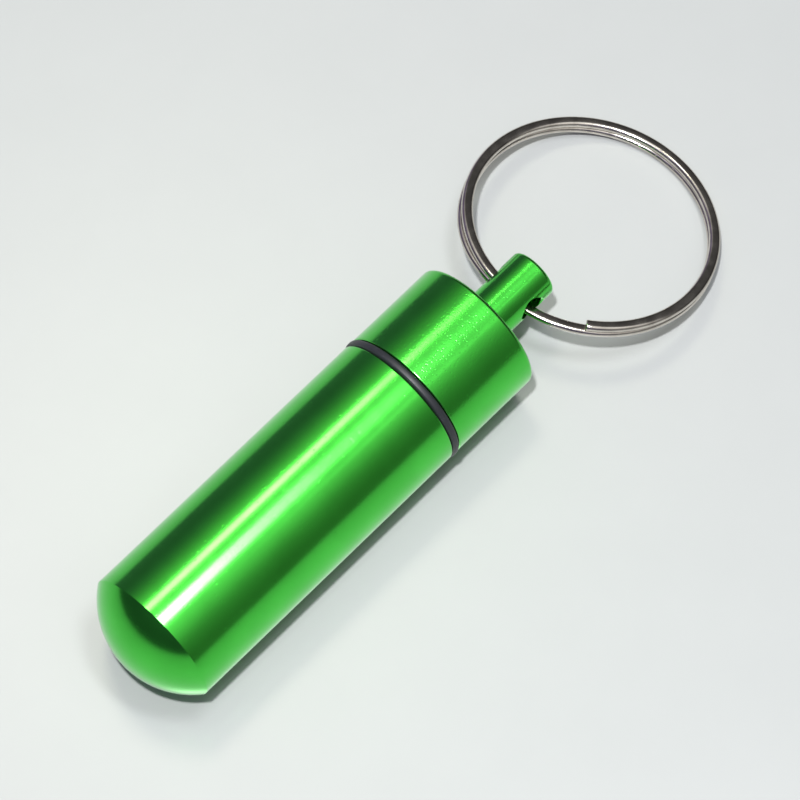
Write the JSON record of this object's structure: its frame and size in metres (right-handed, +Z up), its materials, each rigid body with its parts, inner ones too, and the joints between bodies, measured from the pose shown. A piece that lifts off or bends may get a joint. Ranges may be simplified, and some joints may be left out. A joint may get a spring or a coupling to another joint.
{
  "type": "keychain pill fob",
  "caption": "Turned aluminium pill capsule with a domed tube, an O-ring sealed screw cap, a drilled lug and a split key ring.",
  "frame": {"origin": "on the surface that the fob lies on, below the middle of the whole object's box", "axes": "+X along the tube from its dome to the key ring, +Z up, +Y along the cross hole in the cap's lug"},
  "size_m": [0.0744, 0.025, 0.0142],
  "materials": {
    "anodised_green": "bright turned, green anodised",
    "seal_rubber": "satin",
    "nickel_steel": "polished nickel plate"
  },
  "bodies": {
    "container": {"body_tube": "anodised_green"},
    "seal": {"o_ring": "seal_rubber"},
    "cap": {"screw_cap": "anodised_green"},
    "key_ring": {"split_ring": "nickel_steel"}
  },
  "joints": [
    {"name": "cap_turn", "type": "hinge", "parent": "container", "child": "seal", "pos_m": [-0.00072, -0.00044, 0.0071], "axis": [1, 0, 0], "range_deg": [0, 2520]},
    {"name": "cap_rise", "type": "slide", "parent": "seal", "child": "cap", "axis": [1, 0, 0], "range_m": [0, 0.007]},
    {"name": "ring_swing", "type": "hinge", "parent": "cap", "child": "key_ring", "pos_m": [0.01353, -0.00044, 0.0071], "axis": [-0.0384, 0.9993, 0], "range_deg": [-175, 144.5]}
  ],
  "couplings": [
    {"joint": "cap_turn", "follows": "cap_rise", "rad_per_m": 6283.2}
  ]
}
